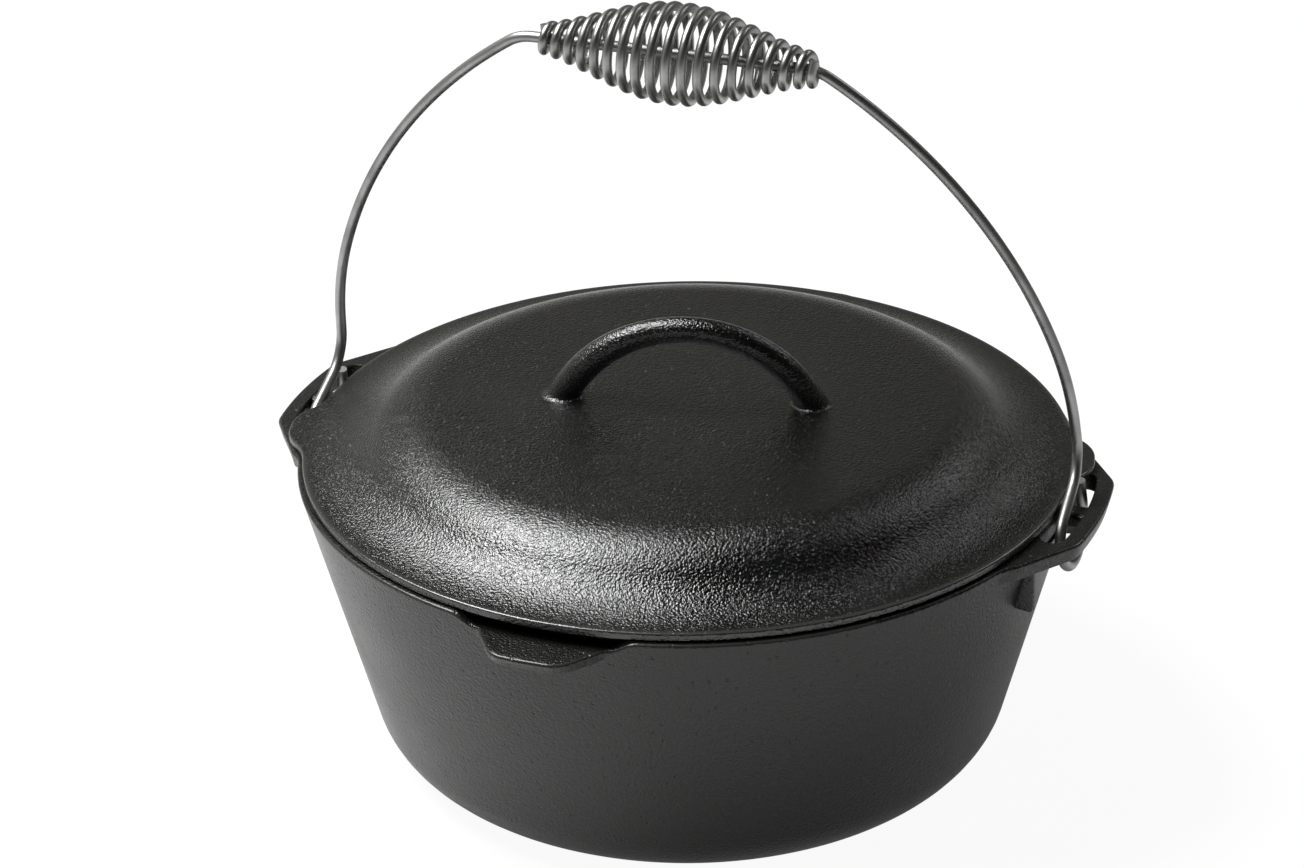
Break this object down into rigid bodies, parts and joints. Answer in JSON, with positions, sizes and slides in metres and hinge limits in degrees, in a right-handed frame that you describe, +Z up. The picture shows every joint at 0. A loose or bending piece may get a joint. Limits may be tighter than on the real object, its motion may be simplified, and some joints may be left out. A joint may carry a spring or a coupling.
{
  "type": "dutch oven",
  "caption": "Round flat-bottomed cast iron dutch oven with a domed lid, slotted ears, pour tabs and a folding wire bail with a coiled wire grip, for cooking over a fire or on a stove.",
  "frame": {"origin": "the middle of the flat base, on the surface that the pot stands on", "axes": "+Z up, the two ears along X, a pour tab at -Y (the front) and one at +Y"},
  "size_m": [0.34, 0.339, 0.3191],
  "materials": {
    "iron": "seasoned black, satin, finely pebbled sand-cast skin",
    "bail_steel": "bright drawn wire",
    "grip_steel": "darker drawn wire, wound"
  },
  "bodies": {
    "pot": {"pot": "iron"},
    "lid": {"lid": "iron"},
    "bail": {"bail": "bail_steel"},
    "grip": {"grip": "grip_steel"}
  },
  "joints": [
    {"name": "bail_swing", "type": "hinge", "parent": "pot", "child": "bail", "pos_m": [0, 0, 0.1205], "axis": [1, 0, 0], "range_deg": [-31, 78]},
    {"name": "grip_spin", "type": "hinge", "parent": "bail", "child": "grip", "pos_m": [0, -0.01743, 0.29975], "axis": [1, 0, 0], "continuous": true},
    {"name": "lid_turn", "type": "hinge", "parent": "pot", "child": "lid", "pos_m": [0, 0, 0.124], "axis": [0, 0, 1], "range_deg": [0, 153]}
  ]
}
